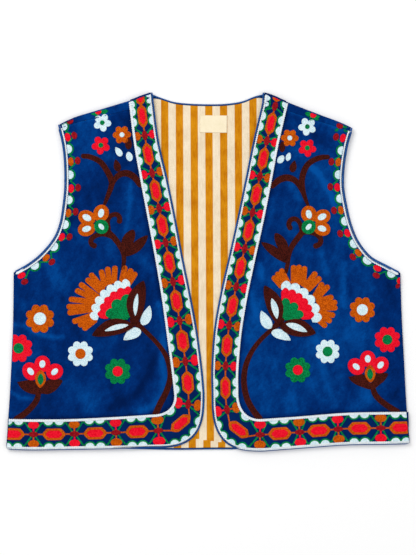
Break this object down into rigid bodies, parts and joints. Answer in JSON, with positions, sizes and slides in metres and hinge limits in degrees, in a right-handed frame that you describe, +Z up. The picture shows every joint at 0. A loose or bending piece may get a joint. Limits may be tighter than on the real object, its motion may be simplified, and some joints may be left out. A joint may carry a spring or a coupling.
{
  "type": "embroidered vest",
  "caption": "Open sleeveless velvet vest laid flat on its back: curved fronts with an applied border, bound edges, and a striped lining that shows between them",
  "frame": {"origin": "middle of the bounding box in X and Y, on the ground that the back lies on", "axes": "+X across the vest to the wearer's left, its longest extent; +Y from hem to neck; +Z up, out of the laid cloth, its shortest extent"},
  "size_m": [0.5864, 0.5215, 0.0099],
  "materials": {
    "velvet": "blue cotton velvet with a brushed nap",
    "lining": "plain weave with gold and cream stripes",
    "band": "darker blue velvet",
    "binding": "folded satin binding",
    "label": "bare woven tape"
  },
  "bodies": {
    "root": {"back": "velvet", "front_left": "velvet", "front_right": "velvet", "lining_back": "lining", "band_left": "band", "band_right": "band", "neck_band_left": "band", "neck_band_right": "band", "binding_edge_left": "binding", "binding_edge_right": "binding", "binding_armhole_left": "binding", "binding_armhole_right": "binding", "binding_back_armhole_left": "binding", "binding_back_armhole_right": "binding", "binding_neck": "binding", "binding_hem": "binding", "label": "label"}
  },
  "joints": []
}
